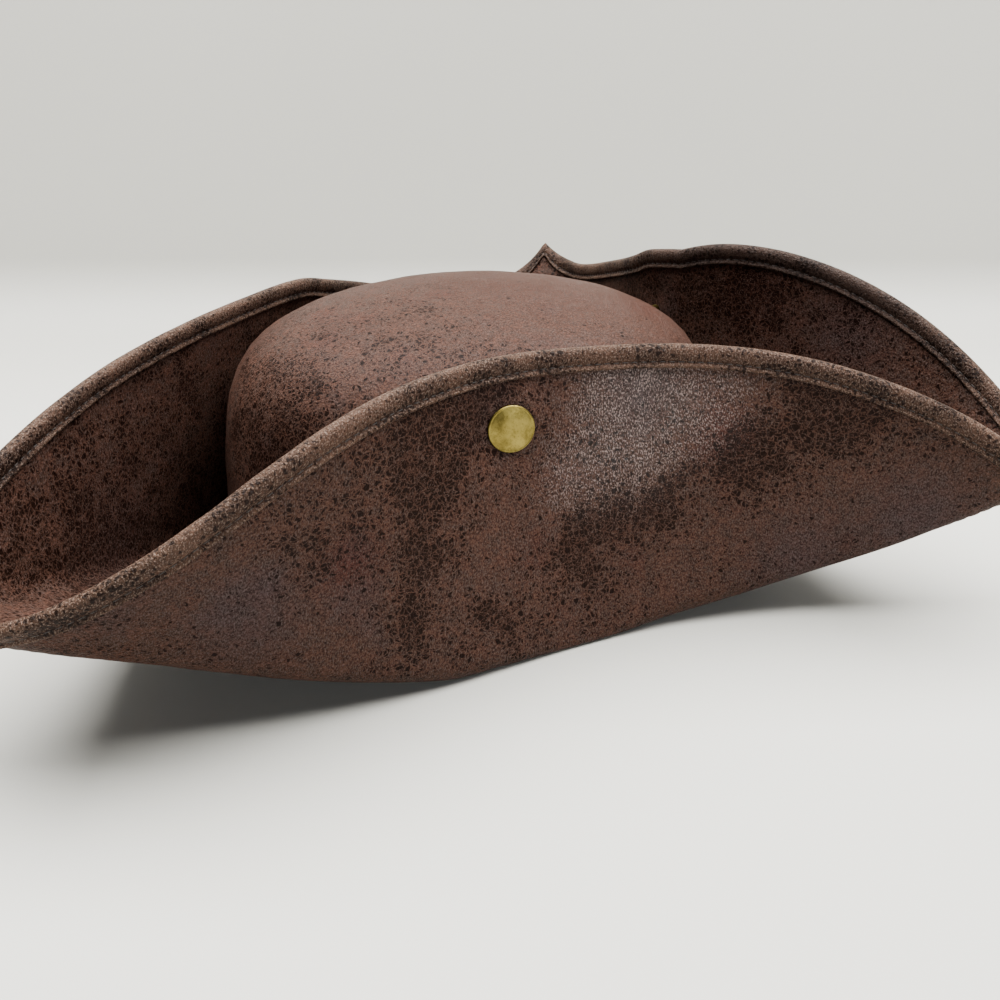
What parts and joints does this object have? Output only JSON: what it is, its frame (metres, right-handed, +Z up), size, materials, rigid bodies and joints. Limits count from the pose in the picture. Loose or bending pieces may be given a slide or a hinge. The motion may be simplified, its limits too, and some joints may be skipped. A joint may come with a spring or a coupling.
{
  "type": "tricorn hat",
  "caption": "Round-crowned hat of soft imitation leather, its bound brim turned up in flaps that meet at pointed corners and are snapped to the crown.",
  "frame": {"origin": "on the table under the middle of the hat's box, near the middle of the head opening", "axes": "+Z up from the table through the crown, +X to the right along the near flap, +Y away from the near flap towards the far corner"},
  "size_m": [0.33, 0.3174, 0.1084],
  "materials": {
    "leather": "worn crackled satin",
    "binding": "smooth satin",
    "brass": "antique satin"
  },
  "bodies": {
    "root": {"hat_body": "leather", "brim_binding": "binding", "snap_cap_back": "brass", "snap_cap_right": "brass", "snap_cap_left": "brass", "snap_post_back": "brass", "snap_post_right": "brass", "snap_post_left": "brass"}
  },
  "joints": []
}
